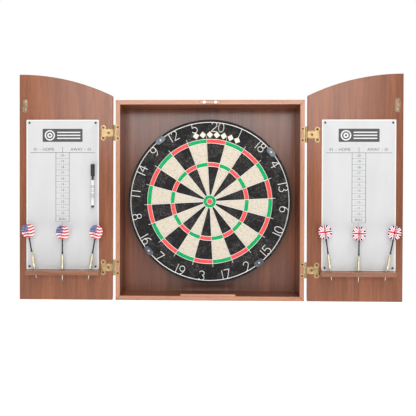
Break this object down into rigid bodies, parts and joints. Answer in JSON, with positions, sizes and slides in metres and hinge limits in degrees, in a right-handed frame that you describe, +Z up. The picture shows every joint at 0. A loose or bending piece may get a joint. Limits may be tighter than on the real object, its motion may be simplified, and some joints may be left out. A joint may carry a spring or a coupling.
{
  "type": "dart board cabinet",
  "caption": "Wall cabinet with two arched doors that fold open on brass hinges, a bristle dartboard hung inside, and a scoreboard and dart rack on each door.",
  "frame": {"origin": "centre of the cabinet's back face, on the plane of the wall that it hangs on", "axes": "+X to the right as seen from the front, +Z up, the front and the open interior face -Y; the doors are at rest fully open, level with the front edge"},
  "size_m": [1.027, 0.1336, 0.607],
  "materials": {
    "walnut_veneer": "satin lacquered walnut veneer on board, straight vertical grain",
    "edge_band": "pale thin wood edge band, satin",
    "hinge_brass": "polished pressed brass",
    "zinc_steel": "bright zinc plated steel",
    "magnet_steel": "bright nickel",
    "grey_plastic": "moulded grey plastic",
    "wipe_board": "glossy dry-wipe panel",
    "sisal": "end-on sisal fibre dyed in beds",
    "chipboard": "raw pressed chipboard",
    "black_band": "black painted steel strip",
    "steel_wire": "bright drawn wire",
    "clip_metal": "grey plated pressed clip",
    "dart_brass": "turned and knurled brass",
    "black_nylon": "black moulded nylon",
    "flight_film": "printed plastic film",
    "pen_white": "white moulded barrel"
  },
  "bodies": {
    "cabinet": {"top_panel": "walnut_veneer", "bottom_panel": "walnut_veneer", "left_side_panel": "walnut_veneer", "right_side_panel": "walnut_veneer", "back_panel": "walnut_veneer", "floor_strip": "edge_band", "catch_housing": "grey_plastic", "left_magnet": "magnet_steel", "right_magnet": "magnet_steel", "board_bracket": "zinc_steel", "left_upper_cabinet_leaf": "hinge_brass", "left_upper_hinge_pin": "hinge_brass", "left_lower_cabinet_leaf": "hinge_brass", "left_lower_hinge_pin": "hinge_brass", "right_upper_cabinet_leaf": "hinge_brass", "right_upper_hinge_pin": "hinge_brass", "right_lower_cabinet_leaf": "hinge_brass", "right_lower_hinge_pin": "hinge_brass"},
    "board": {"hanging_screw": "zinc_steel", "sisal_face": "sisal", "backing_board": "chipboard", "rim_band": "black_band", "wire_spider": "steel_wire", "number_ring": "steel_wire", "ring_clip_1": "clip_metal", "ring_clip_2": "clip_metal", "ring_clip_3": "clip_metal", "ring_clip_4": "clip_metal"},
    "left_door": {"left_door_panel": "walnut_veneer", "left_scoreboard": "wipe_board", "left_dart_rack": "walnut_veneer", "left_strike_plate": "zinc_steel", "left_upper_door_leaf": "hinge_brass", "left_lower_door_leaf": "hinge_brass"},
    "right_door": {"right_door_panel": "walnut_veneer", "right_scoreboard": "wipe_board", "right_dart_rack": "walnut_veneer", "right_strike_plate": "zinc_steel", "right_upper_door_leaf": "hinge_brass", "right_lower_door_leaf": "hinge_brass"},
    "left_dart_1": {"left_dart_1_barrel": "dart_brass", "left_dart_1_stem": "black_nylon", "left_dart_1_flight": "flight_film"},
    "left_dart_2": {"left_dart_2_barrel": "dart_brass", "left_dart_2_stem": "black_nylon", "left_dart_2_flight": "flight_film"},
    "left_dart_3": {"left_dart_3_barrel": "dart_brass", "left_dart_3_stem": "black_nylon", "left_dart_3_flight": "flight_film"},
    "right_dart_1": {"right_dart_1_barrel": "dart_brass", "right_dart_1_stem": "black_nylon", "right_dart_1_flight": "flight_film"},
    "right_dart_2": {"right_dart_2_barrel": "dart_brass", "right_dart_2_stem": "black_nylon", "right_dart_2_flight": "flight_film"},
    "right_dart_3": {"right_dart_3_barrel": "dart_brass", "right_dart_3_stem": "black_nylon", "right_dart_3_flight": "flight_film"},
    "marker": {"marker_body": "pen_white"},
    "marker_cap": {"marker_cap": "black_nylon"}
  },
  "joints": [
    {"name": "left_door_swing", "type": "hinge", "parent": "cabinet", "child": "left_door", "pos_m": [-0.257, -0.0952, 0], "axis": [0, 0, 1], "range_deg": [-15, 180]},
    {"name": "right_door_swing", "type": "hinge", "parent": "cabinet", "child": "right_door", "pos_m": [0.257, -0.0952, 0], "axis": [0, 0, -1], "range_deg": [-15, 180]},
    {"name": "board_turn", "type": "hinge", "parent": "cabinet", "child": "board", "pos_m": [0, -0.011, -0.003], "axis": [0, 1, 0], "continuous": true},
    {"name": "left_dart_1_lift", "type": "slide", "parent": "left_door", "child": "left_dart_1", "axis": [-0.1805, 0, 0.9836], "range_m": [0, 0.029]},
    {"name": "left_dart_2_lift", "type": "slide", "parent": "left_door", "child": "left_dart_2", "axis": [0, 0, 1], "range_m": [0, 0.029]},
    {"name": "left_dart_3_lift", "type": "slide", "parent": "left_door", "child": "left_dart_3", "axis": [0.1633, 0, 0.9866], "range_m": [0, 0.029]},
    {"name": "right_dart_1_lift", "type": "slide", "parent": "right_door", "child": "right_dart_1", "axis": [-0.1392, 0, 0.9903], "range_m": [0, 0.029]},
    {"name": "right_dart_2_lift", "type": "slide", "parent": "right_door", "child": "right_dart_2", "axis": [0.0122, 0, 0.9999], "range_m": [0, 0.029]},
    {"name": "right_dart_3_lift", "type": "slide", "parent": "right_door", "child": "right_dart_3", "axis": [0.1942, 0, 0.981], "range_m": [0, 0.029]},
    {"name": "marker_pull", "type": "slide", "parent": "left_door", "child": "marker", "axis": [0, -1, 0], "range_m": [0, 0.025]},
    {"name": "cap_pull", "type": "slide", "parent": "marker", "child": "marker_cap", "axis": [0, 0, 1], "range_m": [0, 0.03]}
  ]
}
